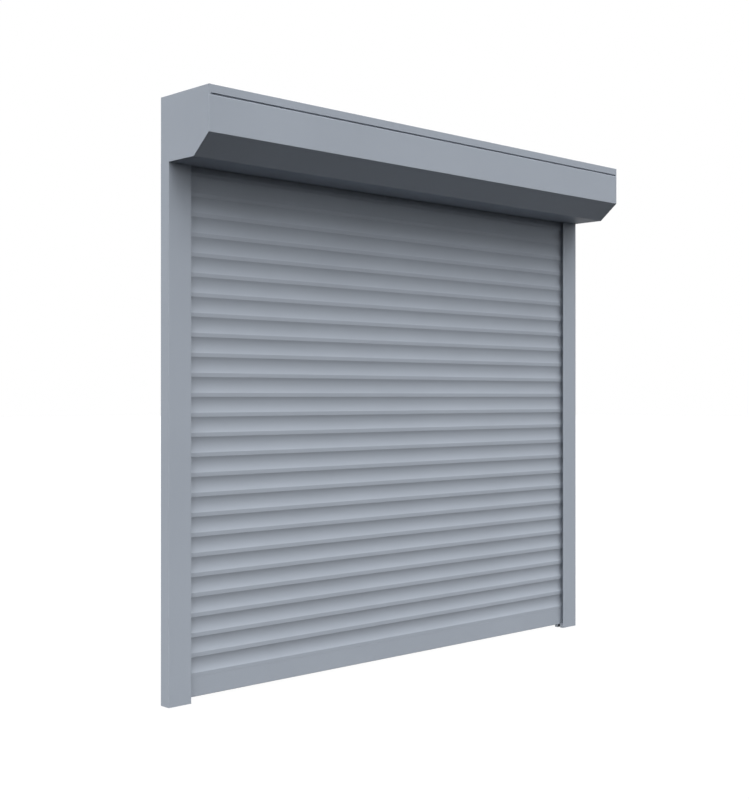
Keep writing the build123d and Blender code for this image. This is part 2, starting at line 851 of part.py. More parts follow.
# Bracket screws at both ends of the shaft
left_head_x = left_x + bracket_x + bracket_thickness
right_head_x = right_x - bracket_x - bracket_thickness
bracket_shank = bracket_thickness + boss_pilot_depth - screw_fit
with BuildPart() as bracket_screws:
    with BuildSketch(Plane.YZ.offset(left_head_x)):
        with Locations((shaft_y, shaft_z)):
            with GridLocations(bracket_pitch, bracket_pitch, 2, 2):
                Circle(bracket_screw_head_radius)
                RegularPolygon(socket_key_radius, 6, mode=Mode.SUBTRACT)
    extrude(amount=bracket_screw_head_height)
    with BuildSketch(Plane.YZ.offset(left_head_x)):
        with Locations((shaft_y, shaft_z)):
            with GridLocations(bracket_pitch, bracket_pitch, 2, 2):
                Circle(bracket_screw_radius)
    extrude(amount=-bracket_shank)
    with BuildSketch(Plane.YZ.offset(right_head_x)):
        with Locations((shaft_y, shaft_z)):
            with GridLocations(bracket_pitch, bracket_pitch, 2, 2):
                Circle(bracket_screw_head_radius)
                RegularPolygon(socket_key_radius, 6, mode=Mode.SUBTRACT)
    extrude(amount=-bracket_screw_head_height)
    with BuildSketch(Plane.YZ.offset(right_head_x)):
        with Locations((shaft_y, shaft_z)):
            with GridLocations(bracket_pitch, bracket_pitch, 2, 2):
                Circle(bracket_screw_radius)
    extrude(amount=bracket_shank)
write(bracket_screws, "bracket_screws")

# Tubular motor: head on the bracket, long tube, and a recess for the output spindle
with BuildPart() as motor_head:
    with BuildSketch(Plane.YZ.offset(left_head_x)):
        with Locations((shaft_y, shaft_z)):
            Circle(motor_head_radius)
    extrude(amount=motor_head_length)
    fillet(motor_head.edges().filter_by(GeomType.CIRCLE), radius=motor_edge)
    with BuildSketch(Plane.YZ.offset(left_head_x)):
        with Locations((shaft_y, shaft_z)):
            Circle(motor_spigot_radius)
    extrude(amount=-bracket_thickness)
write(motor_head, "motor_head")

with BuildPart() as motor_tube:
    with BuildSketch(Plane.YZ.offset(motor_start_x)):
        with Locations((shaft_y, shaft_z)):
            Circle(motor_radius)
    extrude(amount=motor_length)
    with BuildSketch(Plane.YZ.offset(motor_end_x)):
        with Locations((shaft_y, shaft_z)):
            Circle(spindle_radius + crown_running_fit)
    extrude(amount=-spindle_recess, mode=Mode.SUBTRACT)
write(motor_tube, "motor_tube")

# Octagonal winding shaft with slots for the straps
slot_angle = strap_leave_angle + strap_wrap_angle
slot_radius = shaft_flats / 2 - shaft_wall / 2
slot_y = shaft_y + slot_radius * cos(radians(slot_angle))
slot_z = shaft_z + slot_radius * sin(radians(slot_angle))
with BuildPart() as shaft_tube:
    with BuildSketch(Plane.YZ.offset(tube_start_x)):
        with Locations((shaft_y, shaft_z)):
            RegularPolygon(shaft_flats / 2, 8, major_radius=False, rotation=octagon_turn)
            RegularPolygon(
                inner_flats / 2, 8, major_radius=False, rotation=octagon_turn, mode=Mode.SUBTRACT
            )
    extrude(amount=tube_end_x - tube_start_x)
    for hanger in range(hanger_count):
        hanger_x = (hanger - (hanger_count - 1) / 2) * hanger_spacing
        with Locations(Location((hanger_x, slot_y, slot_z), (slot_angle, 0, 0))):
            Box(
                strap_width + 2 * strap_slot_margin,
                2 * shaft_wall + strap_slot_overrun,
                strap_slot_length,
                mode=Mode.SUBTRACT,
            )
write(shaft_tube, "shaft_tube")

# Crown adapter: turns on the motor's collar and carries the left end of the shaft
with BuildPart() as crown_adapter:
    with BuildSketch(Plane.YZ.offset(tube_start_x)):
        with Locations((shaft_y, shaft_z)):
            RegularPolygon(adapter_flats / 2, 8, major_radius=False, rotation=octagon_turn)
            Circle(motor_radius + crown_running_fit, mode=Mode.SUBTRACT)
    extrude(amount=crown_length)
    with BuildSketch(Plane.YZ.offset(tube_start_x)):
        with Locations((shaft_y, shaft_z)):
            Circle(crown_flange_radius)
            Circle(motor_radius + crown_running_fit, mode=Mode.SUBTRACT)
    extrude(amount=-crown_flange)
write(crown_adapter, "crown_adapter")

# Output spindle and drive wheel
with BuildPart() as motor_spindle:
    with BuildSketch(Plane.YZ.offset(motor_end_x - spindle_recess)):
        with Locations((shaft_y, shaft_z)):
            Circle(spindle_radius)
    extrude(amount=spindle_length)
write(motor_spindle, "motor_spindle")

with BuildPart() as drive_wheel:
    with BuildSketch(Plane.YZ.offset(motor_end_x + drive_wheel_gap)):
        with Locations((shaft_y, shaft_z)):
            RegularPolygon(adapter_flats / 2, 8, major_radius=False, rotation=octagon_turn)
            Circle(spindle_radius + pin_fit, mode=Mode.SUBTRACT)
    extrude(amount=drive_wheel_length)
write(drive_wheel, "drive_wheel")

# Idler capsule: plug in the shaft's right end, with the spigot that runs in the bearing
spigot_end_x = housing_x - bearing_inset
with BuildPart() as idler_capsule:
    with BuildSketch(Plane.YZ.offset(tube_end_x)):
        with Locations((shaft_y, shaft_z)):
            RegularPolygon(adapter_flats / 2, 8, major_radius=False, rotation=octagon_turn)
    extrude(amount=-idler_body_length)
    with BuildSketch(Plane.YZ.offset(tube_end_x)):
        with Locations((shaft_y, shaft_z)):
            Circle(idler_flange_radius)
    extrude(amount=idler_flange)
    with BuildSketch(Plane.YZ.offset(tube_end_x + idler_flange)):
        with Locations((shaft_y, shaft_z)):
            Circle(bearing_bore_radius)
    extrude(amount=spigot_end_x - tube_end_x - idler_flange)
write(idler_capsule, "idler_capsule")

# Ball bearing: both rings have a groove for the balls
bearing_x = housing_x - bearing_inset
bearing_middle_x = bearing_x - bearing_width / 2
ball_circle = (bearing_bore_radius + bearing_outer_radius) / 2
with BuildPart() as bearing_inner_ring:
    with BuildSketch(Plane.YZ.offset(bearing_x)):
        with Locations((shaft_y, shaft_z)):
            Circle(bearing_bore_radius + bearing_race_wall)
            Circle(bearing_bore_radius + pin_fit, mode=Mode.SUBTRACT)
    extrude(amount=-bearing_width)
    with Locations(Location((bearing_middle_x, shaft_y, shaft_z), (0, 90, 0))):
        Torus(ball_circle, ball_radius + ball_fit, mode=Mode.SUBTRACT)
write(bearing_inner_ring, "bearing_inner_ring")

with BuildPart() as bearing_outer_ring:
    with BuildSketch(Plane.YZ.offset(bearing_x)):
        with Locations((shaft_y, shaft_z)):
            Circle(bearing_outer_radius)
            Circle(bearing_outer_radius - bearing_race_wall, mode=Mode.SUBTRACT)
    extrude(amount=-bearing_width)
    with Locations(Location((bearing_middle_x, shaft_y, shaft_z), (0, 90, 0))):
        Torus(ball_circle, ball_radius + ball_fit, mode=Mode.SUBTRACT)
write(bearing_outer_ring, "bearing_outer_ring")

ball_plane = Plane(origin=(bearing_middle_x, shaft_y, shaft_z), x_dir=(0, 1, 0), z_dir=(1, 0, 0))
with BuildPart() as bearing_balls:
    with BuildSketch(Plane.YZ.offset(bearing_middle_x - cage_width / 2)):
        with Locations((shaft_y, shaft_z)):
            Circle(ball_circle + cage_thickness / 2)
            Circle(ball_circle - cage_thickness / 2, mode=Mode.SUBTRACT)
    extrude(amount=cage_width)
    with Locations(ball_plane):
        with PolarLocations(ball_circle, ball_count):
            Cylinder(
                ball_radius + ball_fit,
                cage_width,
                rotation=(0, 90, 0),
                mode=Mode.SUBTRACT,
            )
    with Locations(ball_plane):
        with PolarLocations(ball_circle, ball_count):
            Sphere(ball_radius)
write(bearing_balls, "bearing_balls")

# Rubber grommet for the motor's cable, flush with the back panel
with BuildPart() as cable_grommet:
    with BuildSketch(Plane.XZ.offset(-wall_y)):
        with Locations((left_x + grommet_inset, top_z - grommet_drop)):
            Circle(grommet_radius - grommet_fit)
    extrude(amount=sheet_thickness)
    with BuildSketch(Plane.XZ.offset(-wall_y + sheet_thickness)):
        with Locations((left_x + grommet_inset, top_z - grommet_drop)):
            Circle(grommet_flange_radius)
    extrude(amount=grommet_flange)
    with BuildSketch(Plane.XZ.offset(-wall_y)):
        with Locations((left_x + grommet_inset, top_z - grommet_drop)):
            Circle(grommet_bore_radius)
    extrude(amount=sheet_thickness + grommet_flange, mode=Mode.SUBTRACT)
write(cable_grommet, "cable_grommet")

# Spring-steel straps: from a slot in the shaft over its rear side down to the hooks
end_angle = radians(slot_angle)
tab_radius = wrap_radius - strap_tab
with BuildPart() as hanger_straps:
    for hanger in range(hanger_count):
        hanger_x = (hanger - (hanger_count - 1) / 2) * hanger_spacing
        with BuildSketch(Plane.YZ.offset(hanger_x - strap_width / 2)):
            with BuildLine():
                Polyline(
                    (shaft_y + tab_radius * cos(end_angle), shaft_z + tab_radius * sin(end_angle)),
                    (shaft_y + wrap_radius * cos(end_angle), shaft_z + wrap_radius * sin(end_angle)),
                )
                CenterArc((shaft_y, shaft_z), wrap_radius, strap_leave_angle, strap_wrap_angle)
                FilletPolyline(leave_point, turn_point, (strap_y, hook_top_z), radius=strap_bend)
                offset(amount=strap_thickness, side=Side.LEFT)
            make_face()
        extrude(amount=strap_width)
write(hanger_straps, "hanger_straps")

# Hooks that slip over the top slat's edge and hold the straps
with BuildPart() as hanger_hooks:
    for hanger in range(hanger_count):
        hanger_x = (hanger - (hanger_count - 1) / 2) * hanger_spacing
        with BuildSketch(Plane.YZ.offset(hanger_x - hanger_hook_width / 2)):
            add(
                closed_face(
                    [
                        (curtain_y, curtain_top_z),
                        (curtain_y, hook_top_z),
                        (curtain_y + slat_depth, hook_top_z),
                        (curtain_y + slat_depth, curtain_top_z),
                        *socket_points(curtain_top_z),
                    ]
                )
            )
        extrude(amount=hanger_hook_width)
write(hanger_hooks, "hanger_hooks")

# Slats, all of one section, numbered from the bottom
for number in range(slat_count):
    with BuildPart() as slat:
        with BuildSketch(Plane.YZ.offset(-slat_length / 2)):
            add(slat_face(first_slat_z + number * slat_pitch))
        extrude(amount=slat_length)
    write(slat, f"slat_{number + 1:02d}")

# End locks on every other slat: a plate at the slat's end with a tongue in its chamber
with BuildPart() as slat_end_locks:
    for number in range(0, slat_count, 2):
        lock_z = first_slat_z + number * slat_pitch
        tongue_z = lock_z + socket_lip + socket_height + slat_wall
        tongue_y = curtain_y + lock_tongue_inset
        with BuildSketch(Plane.YZ.offset(slat_length / 2)):
            add(
                closed_face(
                    [
                        (curtain_y + lock_inset, lock_z + lock_inset),
                        (curtain_y + slat_depth - lock_inset, lock_z + lock_inset),
                        (curtain_y + slat_depth - lock_inset, lock_z + lock_height),
                        (curtain_y + lock_inset, lock_z + lock_height),
                    ]
                )
            )
        extrude(amount=lock_plate)
        with BuildSketch(Plane.YZ.offset(slat_length / 2)):
            add(
                closed_face(
                    [
                        (tongue_y, tongue_z),
                        (tongue_y + lock_tongue_width, tongue_z),
                        (tongue_y + lock_tongue_width, tongue_z + lock_tongue_height),
                        (tongue_y, tongue_z + lock_tongue_height),
                    ]
                )
            )
        extrude(amount=-lock_tongue_length)
    mirror(about=Plane.YZ)
write(slat_end_locks, "slat_end_locks")

# Bottom bar: plain hollow bar with the slats' hook on top and a groove for the seal
bar_top_z = sill_gap + bar_height
bar_rear_y = curtain_y + slat_depth
seal_middle_y = curtain_y + slat_depth / 2
pocket_z = sill_gap + bar_wall
pocket_top_z = pocket_z + seal_pocket_height
with BuildPart() as bottom_bar:
    with BuildSketch(Plane.YZ.offset(-slat_length / 2)):
        add(
            closed_face(
                [
                    (curtain_y, sill_gap),
                    (curtain_y, bar_top_z),
                    *hook_points(first_slat_z),
                    (bar_rear_y, bar_top_z),
                    (bar_rear_y, sill_gap),
                    (seal_middle_y + seal_mouth / 2, sill_gap),
                    (seal_middle_y + seal_mouth / 2, pocket_z),
                    (seal_middle_y + seal_pocket_width / 2, pocket_z),
                    (seal_middle_y + seal_pocket_width / 2, pocket_top_z),
                    (seal_middle_y - seal_pocket_width / 2, pocket_top_z),
                    (seal_middle_y - seal_pocket_width / 2, pocket_z),
                    (seal_middle_y - seal_mouth / 2, pocket_z),
                    (seal_middle_y - seal_mouth / 2, sill_gap),
                ]
            )
        )
        add(
            closed_face(
                [
                    (curtain_y + bar_wall, pocket_top_z + bar_wall),
                    (curtain_y + bar_wall, bar_top_z - bar_wall),
                    (bar_rear_y - bar_wall, bar_top_z - bar_wall),
                    (bar_rear_y - bar_wall, pocket_top_z + bar_wall),
                ]
            ),
            mode=Mode.SUBTRACT,
        )
    extrude(amount=slat_length)
write(bottom_bar, "bottom_bar")

# Rubber seal: its head sits in the groove and its lip reaches just below the bar
seal_bottom_z = sill_gap - seal_reach
seal_neck = seal_mouth / 2 - seal_fit
seal_head = seal_pocket_width / 2 - seal_fit
seal_lip = seal_mouth
with BuildPart() as bottom_seal:
    with BuildSketch(Plane.YZ.offset(-slat_length / 2)):
        add(
            closed_face(
                [
                    (seal_middle_y - seal_head, pocket_z),
                    (seal_middle_y - seal_head, pocket_top_z - seal_fit),
                    (seal_middle_y + seal_head, pocket_top_z - seal_fit),
                    (seal_middle_y + seal_head, pocket_z),
                    (seal_middle_y + seal_neck, pocket_z),
                    (seal_middle_y + seal_neck, sill_gap),
                    (seal_middle_y + seal_lip, sill_gap),
                    (seal_middle_y + seal_lip, seal_bottom_z),
                    (seal_middle_y - seal_lip, seal_bottom_z),
                    (seal_middle_y - seal_lip, sill_gap),
                    (seal_middle_y - seal_neck, sill_gap),
                    (seal_middle_y - seal_neck, pocket_z),
                ]
            )
        )
    extrude(amount=slat_length)
write(bottom_seal, "bottom_seal")
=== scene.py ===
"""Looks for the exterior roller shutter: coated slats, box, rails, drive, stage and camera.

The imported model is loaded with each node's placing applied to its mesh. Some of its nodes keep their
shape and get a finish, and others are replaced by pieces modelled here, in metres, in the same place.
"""

from math import asin, cos, hypot, radians, sin, tan

import bpy
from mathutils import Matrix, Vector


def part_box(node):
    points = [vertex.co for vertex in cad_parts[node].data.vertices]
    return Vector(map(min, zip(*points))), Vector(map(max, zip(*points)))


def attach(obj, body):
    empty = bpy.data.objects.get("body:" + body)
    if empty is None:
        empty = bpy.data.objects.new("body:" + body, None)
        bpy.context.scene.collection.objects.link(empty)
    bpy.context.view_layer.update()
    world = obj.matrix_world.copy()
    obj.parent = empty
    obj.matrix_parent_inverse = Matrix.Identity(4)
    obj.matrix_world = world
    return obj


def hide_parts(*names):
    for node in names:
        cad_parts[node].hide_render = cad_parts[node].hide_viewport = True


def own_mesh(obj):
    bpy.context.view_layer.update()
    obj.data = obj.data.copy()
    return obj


bl_info = {
    "name": "Exterior roller shutter",
    "version": (1, 0, 0),
    "blender": (4, 5, 0),
    "location": "3D View > Sidebar > Shutter",
    "description": "Dresses the packed roller shutter and sets up its stage",
    "category": "Object",
}

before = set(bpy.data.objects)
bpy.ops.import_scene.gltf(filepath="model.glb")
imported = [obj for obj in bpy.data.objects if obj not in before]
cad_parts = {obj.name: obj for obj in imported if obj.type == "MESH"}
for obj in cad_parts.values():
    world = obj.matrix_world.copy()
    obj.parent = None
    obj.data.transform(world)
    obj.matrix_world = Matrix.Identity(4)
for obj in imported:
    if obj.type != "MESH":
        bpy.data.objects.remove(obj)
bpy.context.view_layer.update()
MM = 0.001
SLATS = sorted(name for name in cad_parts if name.startswith("slat_") and name[5:].isdigit())
SLAT_LOW, SLAT_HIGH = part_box(SLATS[0])
SLAT_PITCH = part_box(SLATS[1])[0].z - SLAT_LOW.z

# joint between two slats, as on the bottom bar: widths are counted from its middle to one side
JOINT_BEHIND_FRONT = 5.3 * MM
HOOK_NECK, HOOK_HEAD, HOOK_NECK_HEIGHT = 0.9 * MM, 2.8 * MM, 2.4 * MM
SOCKET_MOUTH, SOCKET_POCKET = 1.5 * MM, 4.1 * MM
SOCKET_LIP_HEIGHT, SOCKET_POCKET_HEIGHT = 2.2 * MM, 10.3 * MM
REAR_SLOPE = 2 * MM

# groove under the bottom bar and the seal in it, with widths counted in the same way
GROOVE_MOUTH, GROOVE_POCKET = 2.5 * MM, 4 * MM
GROOVE_LIP_HEIGHT, GROOVE_ROOF_HEIGHT = 1.6 * MM, 5.1 * MM
SEAL_NECK, SEAL_HEAD, SEAL_ROUND = 2.3 * MM, 3.8 * MM, 0.45 * MM

# hanger strap: degrees round the shaft where it starts and leaves, and its bend above the slat
STRAP_START, STRAP_LEAVE, STRAP_WRAP_STEPS = 135, 60, 10
STRAP_BEND, STRAP_BEND_STEPS = 40 * MM, 6

# brush seal: its tufts, and the strip that holds them
TUFT_LENGTH, TUFT_WIDTH, TUFT_SHARE_OF_PITCH = 1.95 * MM, 3 * MM, 0.96
ROOT_NARROWING = (0.7, 1, 0.75)
BACKING_THICKNESS, BACKING_MIDDLE, BACKING_ROUND = 1.4 * MM, 0.75 * MM, 0.2 * MM

# camera, solved from the straight edges in the photograph: place, turn in degrees, then pixels
CAMERA_PLACE = (-3988.7 * MM, -3881.0 * MM, 1172.4 * MM)
CAMERA_TURN = -43.75
PHOTO_HEIGHT, FOCAL_LENGTH, PICTURE_SHIFT = 800, 1268, -3.35
SENSOR_MM = 36.0

# soft lamps: tilt, turn and spread in degrees, and strength
LAMPS = {
    "soft_key": (28, 0, 50, 2.62),
    "side_fill": (45, -80, 60, 2.0),
    "rear_fill": (70, 150, 60, 1.9),
}
# the sky's brightness against the sine of the height above the horizon, in two soft bands
SKY_STOPS = (
    (0.0, 0.26),
    (0.05, 0.26),
    (0.12, 0.45),
    (0.18, 0.83),
    (0.3, 0.0),
    (0.42, 0.41),
    (0.55, 1.0),
    (0.7, 0.0),
)
SKY_STRENGTH = 2.31
FLOOR_SIZE, FLOOR_BELOW_FEET, FLOOR_GLOW = 120, 0.2 * MM, 0.88


def linear(code):
    """Turn an sRGB hex colour into the linear values that Blender works with."""
    shares = [int(code[place : place + 2], 16) / 255 for place in (1, 3, 5)]
    return tuple(c / 12.92 if c <= 0.04045 else ((c + 0.055) / 1.055) ** 2.4 for c in shares)


class ShutterSizes(bpy.types.PropertyGroup):
    """Sizes of the pieces modelled here, in metres."""

    strip_height: bpy.props.FloatProperty(
        name="Strip", description="Flat strip at the foot of each slat", default=15.5 * MM, unit="LENGTH"
    )
    belly_depth: bpy.props.FloatProperty(
        name="Hollow", description="Depth of each slat's hollow face", default=5.5 * MM, unit="LENGTH"
    )
    joint_gap: bpy.props.FloatProperty(
        name="Joint gap", description="Gap between two slats", default=0.2 * MM, unit="LENGTH"
    )
    lip_round: bpy.props.FloatProperty(
        name="Lip rounding", description="Radius of the slats' front lips", default=0.5 * MM, unit="LENGTH"
    )
    bar_round: bpy.props.FloatProperty(
        name="Bar rounding", description="Radius of the bottom bar's edges", default=0.8 * MM, unit="LENGTH"
    )
    belly_steps: bpy.props.IntProperty(
        name="Hollow steps", description="Faces across each hollow", default=22, min=6
    )
    strap_width: bpy.props.FloatProperty(
        name="Strap width", description="Width of the hanger straps", default=25 * MM, unit="LENGTH"
    )
    strap_thickness: bpy.props.FloatProperty(
        name="Strap thickness",
        description="Thickness of the hanger straps",
        default=1 * MM,
        unit="LENGTH",
    )
    tuft_pitch: bpy.props.FloatProperty(
        name="Tuft pitch",
        description="Distance between two tufts of the brush seals",
        default=6 * MM,
        unit="LENGTH",
    )


class ShutterColours(bpy.types.PropertyGroup):
    """Colours of the finishes, as linear values."""

    coat: bpy.props.FloatVectorProperty(
        name="Coat",
        description="Powder coat of the whole shutter",
        subtype="COLOR",
        default=linear("#9ba2ac"),
    )
    zinc: bpy.props.FloatVectorProperty(
        name="Zinc",
        description="Bright metal of the brackets, their screws, the bearing and the hooks",
        subtype="COLOR",
        default=linear("#c3c6c9"),
    )
    galvanised: bpy.props.FloatVectorProperty(
        name="Galvanised", description="Winding shaft", subtype="COLOR", default=linear("#b4b9bd")
    )
    spring: bpy.props.FloatVectorProperty(
        name="Spring steel", description="Hanger straps", subtype="COLOR", default=linear("#5b6370")
    )
    polyamide: bpy.props.FloatVectorProperty(
        name="Black polyamide",
        description="Adapters and motor head",
        subtype="COLOR",
        default=linear("#26272a"),
    )
    guide: bpy.props.FloatVectorProperty(
        name="Grey plastic",
        description="Inlet guides and end locks",
        subtype="COLOR",
        default=linear("#4b4f55"),
    )
    foot: bpy.props.FloatVectorProperty(
        name="Feet", description="Plugs under the guide rails", subtype="COLOR", default=linear("#9ba2ac")
    )
    rubber: bpy.props.FloatVectorProperty(
        name="Rubber", description="Seal and grommet", subtype="COLOR", default=linear("#242426")
    )
    pile: bpy.props.FloatVectorProperty(
        name="Pile", description="Tufts of the brush seals", subtype="COLOR", default=linear("#1e1f22")
    )
    lacquer: bpy.props.FloatVectorProperty(
        name="Lacquer", description="Motor tube", subtype="COLOR", default=linear("#d9dadb")
    )


# Materials


def new_material(name):
    """Return a material with only a shader and an output, its node tree and the shader."""
    material = bpy.data.materials.new(name)
    material.use_nodes = True
    tree = material.node_tree
    tree.nodes.clear()
    shader = node(tree, "BsdfPrincipled")
    node(tree, "OutputMaterial", inputs={"Surface": shader.outputs["BSDF"]})
    return material, tree, shader


def feed(tree, made, inputs):
    """Set or link the inputs of a node."""
    for key, value in inputs.items():
        if isinstance(value, bpy.types.NodeSocket):
            tree.links.new(value, made.inputs[key])
        else:
            made.inputs[key].default_value = value


def node(tree, kind, settings=None, inputs=None):
    """Add a node, set its properties, and set or link its inputs."""
    made = tree.nodes.new("ShaderNode" + kind)
    for key, value in (settings or {}).items():
        setattr(made, key, value)
    feed(tree, made, inputs or {})
    return made


def shade(colour, share=1.0):
    """Return a colour scaled by a share, with alpha."""
    return tuple(min(1.0, c * share) for c in colour) + (1.0,)


def stretch(axis, along_mm, across_mm):
    """Return the scale of a pattern that is long along one axis and fine across it."""
    scale = [1 / (across_mm * MM)] * 3
    scale[axis] = 1 / (along_mm * MM)
    return scale


def powder_coat(name, colour, draw_axis, line_mm):
    """Satin polyester powder coat, sprayed and baked on aluminium.

    The eye sees one even grey-blue with a soft sheen, a fine orange peel close up, and very faint
    lines along the direction in which the metal under it was drawn or rolled.
    """
    material, tree, shader = new_material(name)
    place = node(tree, "TexCoord").outputs["Object"]
    # orange peel: waves about 2.4 mm apart
    peel = node(
        tree,
        "TexNoise",
        inputs={"Vector": place, "Scale": 1 / (2.4 * MM), "Detail": 2.0, "Roughness": 0.4},
    )
    # grain of the baked powder, drawn at 0.7 mm so that it shows close up
    grain = node(tree, "TexNoise", inputs={"Vector": place, "Scale": 1 / (0.7 * MM), "Detail": 1.0})
    # lines of the drawn metal, long along one axis
    drawn = node(tree, "Mapping", inputs={"Vector": place, "Scale": stretch(draw_axis, 900, line_mm)})
    lines = node(tree, "TexNoise", inputs={"Vector": drawn.outputs["Vector"], "Scale": 1.0, "Detail": 3.0})
    # clouds of slightly more and less coat, about half a metre across
    clouds = node(
        tree,
        "TexNoise",
        inputs={"Vector": place, "Scale": 1 / (450 * MM), "Detail": 3.0, "Roughness": 0.55},
    )
    tone = node(tree, "ValToRGB", inputs={"Fac": clouds.outputs["Fac"]})
    for element, position, share in zip(tone.color_ramp.elements, (0.3, 0.7), (0.975, 1.02)):
        element.position = position
        element.color = shade(colour, share)
    speck = node(
        tree,
        "MapRange",
        inputs={
            "Value": grain.outputs["Fac"],
            "From Min": 0.3,
            "From Max": 0.7,
            "To Min": 0.975,
            "To Max": 1.02,
        },
    )
    mixed = node(
        tree,
        "VectorMath",
        {"operation": "SCALE"},
        {0: tone.outputs["Color"], "Scale": speck.outputs["Result"]},
    )
    gloss = node(
        tree,
        "MapRange",
        inputs={
            "Value": lines.outputs["Fac"],
            "From Min": 0.3,
            "From Max": 0.7,
            "To Min": 0.46,
            "To Max": 0.54,
        },
    )
    waves = node(
        tree, "Bump", inputs={"Height": peel.outputs["Fac"], "Distance": 0.02 * MM, "Strength": 0.5}
    )
    fine = node(
        tree,
        "Bump",
        inputs={
            "Height": lines.outputs["Fac"],
            "Distance": 0.02 * MM,
            "Strength": 0.4,
            "Normal": waves.outputs["Normal"],
        },
    )
    surface = {
        "Base Color": mixed.outputs["Vector"],
        "Roughness": gloss.outputs["Result"],
        "Normal": fine.outputs["Normal"],
        "Specular IOR Level": 0.06,
    }
    feed(tree, shader, surface)
    return material


def bright_steel(name, colour, roughness, spangle_mm):
    """Zinc-plated or galvanised steel: a bright metal with soft patches of crystal, uneven in gloss."""
    material, tree, shader = new_material(name)
    place = node(tree, "TexCoord").outputs["Object"]
    spangle = node(tree, "TexVoronoi", inputs={"Vector": place, "Scale": 1 / (spangle_mm * MM)})
    patches = node(tree, "SeparateColor", inputs={"Color": spangle.outputs["Color"]})
    tint = node(tree, "MapRange", inputs={"Value": patches.outputs["Red"], "To Min": 0.9, "To Max": 1.05})
    mixed = node(tree, "VectorMath", {"operation": "SCALE"}, {0: colour, "Scale": tint.outputs["Result"]})
    gloss = node(
        tree,
        "MapRange",
        inputs={"Value": patches.outputs["Green"], "To Min": roughness - 0.06, "To Max": roughness + 0.08},
    )
    # grit under the plating, about 0.8 mm
    grit = node(tree, "TexNoise", inputs={"Vector": place, "Scale": 1 / (0.8 * MM), "Detail": 2.0})
    relief = node(
        tree, "Bump", inputs={"Height": grit.outputs["Fac"], "Distance": 0.02 * MM, "Strength": 0.3}
    )
    surface = {
        "Base Color": mixed.outputs["Vector"],
        "Roughness": gloss.outputs["Result"],
        "Normal": relief.outputs["Normal"],
        "Metallic": 1.0,
    }
    feed(tree, shader, surface)
    return material


def ground_steel(name, colour, roughness, draw_axis):
    """Ground or rolled bright metal: fine parallel scratches along one axis, sharp highlights across."""
    material, tree, shader = new_material(name)
    place = node(tree, "TexCoord").outputs["Object"]
    # scratches are far finer, and drawn 0.4 mm apart so that they show
    drawn = node(tree, "Mapping", inputs={"Vector": place, "Scale": stretch(draw_axis, 40, 0.4)})
    scratches = node(
        tree, "TexNoise", inputs={"Vector": drawn.outputs["Vector"], "Scale": 1.0, "Detail": 3.0}
    )
    tint = node(tree, "MapRange", inputs={"Value": scratches.outputs["Fac"], "To Min": 0.85, "To Max": 1.1})
    mixed = node(tree, "VectorMath", {"operation": "SCALE"}, {0: colour, "Scale": tint.outputs["Result"]})
    gloss = node(
        tree,
        "MapRange",
        inputs={"Value": scratches.outputs["Fac"], "To Min": roughness - 0.05, "To Max": roughness + 0.1},
    )
    relief = node(
        tree, "Bump", inputs={"Height": scratches.outputs["Fac"], "Distance": 0.01 * MM, "Strength": 0.4}
    )
    surface = {
        "Base Color": mixed.outputs["Vector"],
        "Roughness": gloss.outputs["Result"],
        "Normal": relief.outputs["Normal"],
        "Metallic": 1.0,
    }
    feed(tree, shader, surface)
    return material


def moulded_plastic(name, colour, roughness):
    """Injection-moulded plastic: an even body colour, a fine eroded grain and a dull sheen."""
    material, tree, shader = new_material(name)
    place = node(tree, "TexCoord").outputs["Object"]
    # eroded mould grain, about 0.6 mm
    grain = node(tree, "TexVoronoi", inputs={"Vector": place, "Scale": 1 / (0.6 * MM)})
    # streaks left by the flow of the plastic, about 60 mm
    flow = node(tree, "TexNoise", inputs={"Vector": place, "Scale": 1 / (60 * MM), "Detail": 2.0})
    tint = node(tree, "MapRange", inputs={"Value": flow.outputs["Fac"], "To Min": 0.88, "To Max": 1.12})
    mixed = node(tree, "VectorMath", {"operation": "SCALE"}, {0: colour, "Scale": tint.outputs["Result"]})
    gloss = node(
        tree,
        "MapRange",
        inputs={"Value": flow.outputs["Fac"], "To Min": roughness - 0.06, "To Max": roughness + 0.06},
    )
    relief = node(
        tree, "Bump", inputs={"Height": grain.outputs["Distance"], "Distance": 0.03 * MM, "Strength": 0.5}
    )
    surface = {
        "Base Color": mixed.outputs["Vector"],
        "Roughness": gloss.outputs["Result"],
        "Normal": relief.outputs["Normal"],
    }
    feed(tree, shader, surface)
    return material


def extruded_rubber(name, colour):
    """Extruded EPDM rubber: near black, matt, with a dusty bloom and faint lines along its length."""
    material, tree, shader = new_material(name)
    place = node(tree, "TexCoord").outputs["Object"]
    # lines of the die, 0.8 mm apart
    drawn = node(tree, "Mapping", inputs={"Vector": place, "Scale": stretch(0, 200, 0.8)})
    lines = node(tree, "TexNoise", inputs={"Vector": drawn.outputs["Vector"], "Scale": 1.0, "Detail": 2.0})
    # bloom in patches of about 25 mm
    bloom = node(tree, "TexNoise", inputs={"Vector": place, "Scale": 1 / (25 * MM), "Detail": 4.0})
    tint = node(tree, "MapRange", inputs={"Value": bloom.outputs["Fac"], "To Min": 0.7, "To Max": 1.6})
    mixed = node(tree, "VectorMath", {"operation": "SCALE"}, {0: colour, "Scale": tint.outputs["Result"]})
    relief = node(
        tree, "Bump", inputs={"Height": lines.outputs["Fac"], "Distance": 0.05 * MM, "Strength": 0.5}
    )
    surface = {
        "Base Color": mixed.outputs["Vector"],
        "Normal": relief.outputs["Normal"],
        "Roughness": 0.8,
    }
    feed(tree, shader, surface)
    return material


